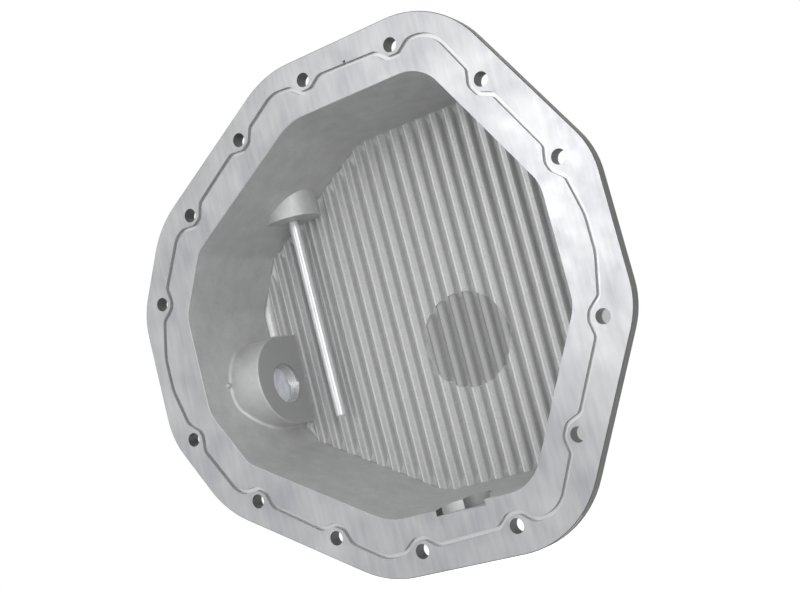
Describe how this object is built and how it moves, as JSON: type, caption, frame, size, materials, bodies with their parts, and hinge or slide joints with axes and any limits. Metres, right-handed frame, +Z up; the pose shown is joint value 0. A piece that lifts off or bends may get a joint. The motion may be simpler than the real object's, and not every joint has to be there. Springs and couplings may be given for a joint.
{
  "type": "differential cover",
  "caption": "Cast aluminium axle differential cover with bolting flange, seal groove, ribbed bowl, filler and drain plugs and a hanging dipstick.",
  "frame": {"origin": "centre of the rectangle of four side bolt holes, on the machined mating face; the mirror plane of the bolt pattern is Z = 0", "axes": "+X to the right seen from inside the cover, +Y out of the mating face into the cover towards its back, +Z up along the ribs and the dipstick"},
  "size_m": [0.363, 0.103, 0.3536],
  "materials": {
    "casting": "as cast, flange face and groove machined",
    "rod_steel": "bright drawn",
    "cap_metal": "turned",
    "seal_rubber": "matt",
    "plug_zinc": "bluish zinc plate",
    "washer_metal": "plain"
  },
  "bodies": {
    "root": {"cover_casting": "casting", "dipstick_rod": "rod_steel", "dipstick_cap": "cap_metal", "dipstick_seal": "seal_rubber", "fill_plug": "plug_zinc", "fill_washer": "washer_metal", "drain_plug": "plug_zinc", "drain_washer": "washer_metal"}
  },
  "joints": []
}
